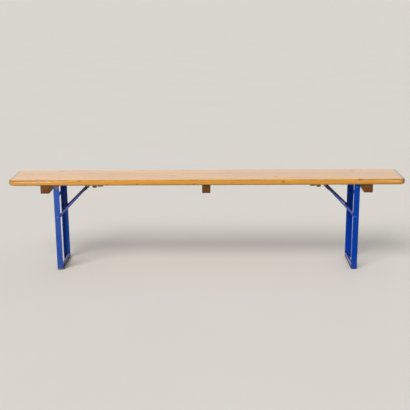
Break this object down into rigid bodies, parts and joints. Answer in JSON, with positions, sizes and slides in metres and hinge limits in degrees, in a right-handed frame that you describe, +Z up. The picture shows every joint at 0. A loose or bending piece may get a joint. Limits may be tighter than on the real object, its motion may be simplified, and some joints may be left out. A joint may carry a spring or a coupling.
{
  "type": "folding bench",
  "caption": "Long backless bench: a varnished softwood board on painted angle-iron leg frames that fold flat under it, with V-braces, catches and cross cleats.",
  "frame": {"origin": "on the floor, under the middle of the board", "axes": "+X along the board, +Y across the board to the back, +Z up"},
  "size_m": [2, 0.25, 0.48],
  "materials": {
    "board": "clear gloss varnish over softwood",
    "cleats": "dark varnish over softwood",
    "frame": "gloss blue enamel, worn at the feet and edges",
    "hinges": "gloss blue enamel",
    "latch": "dull zinc plate",
    "fixings": "dull zinc plate"
  },
  "bodies": {
    "bench": {"seat_board": "board", "centre_cleat": "cleats", "centre_cleat_screw_front": "fixings", "centre_cleat_screw_rear": "fixings", "right_front_hinge_bracket": "hinges", "right_front_bracket_screw_1": "fixings", "right_front_bracket_screw_2": "fixings", "right_rear_hinge_bracket": "hinges", "right_rear_bracket_screw_1": "fixings", "right_rear_bracket_screw_2": "fixings", "right_end_cleat": "cleats", "right_end_cleat_screw_front": "fixings", "right_end_cleat_screw_rear": "fixings", "right_catch_bracket": "latch", "right_catch_screw_inner": "fixings", "right_catch_screw_outer": "fixings", "right_latch_pivot": "latch", "left_front_hinge_bracket": "hinges", "left_front_bracket_screw_1": "fixings", "left_front_bracket_screw_2": "fixings", "left_rear_hinge_bracket": "hinges", "left_rear_bracket_screw_1": "fixings", "left_rear_bracket_screw_2": "fixings", "left_end_cleat": "cleats", "left_end_cleat_screw_front": "fixings", "left_end_cleat_screw_rear": "fixings", "left_catch_bracket": "latch", "left_catch_screw_inner": "fixings", "left_catch_screw_outer": "fixings", "left_latch_pivot": "latch"},
    "leg_right": {"right_front_upright": "frame", "right_front_hinge_rivet": "frame", "right_front_brace_rivet": "frame", "right_rear_upright": "frame", "right_rear_hinge_rivet": "frame", "right_rear_brace_rivet": "frame", "right_foot_bar": "frame", "right_upper_bar": "frame"},
    "leg_left": {"left_front_upright": "frame", "left_front_hinge_rivet": "frame", "left_front_brace_rivet": "frame", "left_rear_upright": "frame", "left_rear_hinge_rivet": "frame", "left_rear_brace_rivet": "frame", "left_foot_bar": "frame", "left_upper_bar": "frame"},
    "brace_right": {"right_front_brace": "frame", "right_rear_brace": "frame", "right_brace_pin": "latch"},
    "brace_left": {"left_front_brace": "frame", "left_rear_brace": "frame", "left_brace_pin": "latch"},
    "latch_right": {"right_latch_lever": "latch", "right_latch_spring": "latch"},
    "latch_left": {"left_latch_lever": "latch", "left_latch_spring": "latch"}
  },
  "joints": [
    {"name": "leg_right_fold", "type": "hinge", "parent": "bench", "child": "leg_right", "pos_m": [0.758, 0, 0.437], "axis": [0, 1, 0], "range_deg": [0, 88]},
    {"name": "brace_right_swing", "type": "hinge", "parent": "leg_right", "child": "brace_right", "pos_m": [0.758, 0, 0.28], "axis": [0, -1, 0], "range_deg": [0, 132]},
    {"name": "latch_right_lift", "type": "hinge", "parent": "bench", "child": "latch_right", "pos_m": [0.551, 0, 0.434], "axis": [0, -1, 0], "range_deg": [0, 9], "stiffness_Nm_per_rad": 0.12, "springref_deg": -34.38},
    {"name": "leg_left_fold", "type": "hinge", "parent": "bench", "child": "leg_left", "pos_m": [-0.758, 0, 0.437], "axis": [0, -1, 0], "range_deg": [0, 88]},
    {"name": "brace_left_swing", "type": "hinge", "parent": "leg_left", "child": "brace_left", "pos_m": [-0.758, 0, 0.28], "axis": [0, 1, 0], "range_deg": [0, 132]},
    {"name": "latch_left_lift", "type": "hinge", "parent": "bench", "child": "latch_left", "pos_m": [-0.551, 0, 0.434], "axis": [0, 1, 0], "range_deg": [0, 9], "stiffness_Nm_per_rad": 0.12, "springref_deg": -34.38}
  ],
  "couplings": [
    {"joint": "brace_right_swing", "follows": "leg_right_fold", "ratio": 1.4912},
    {"joint": "brace_left_swing", "follows": "leg_left_fold", "ratio": 1.4912}
  ]
}
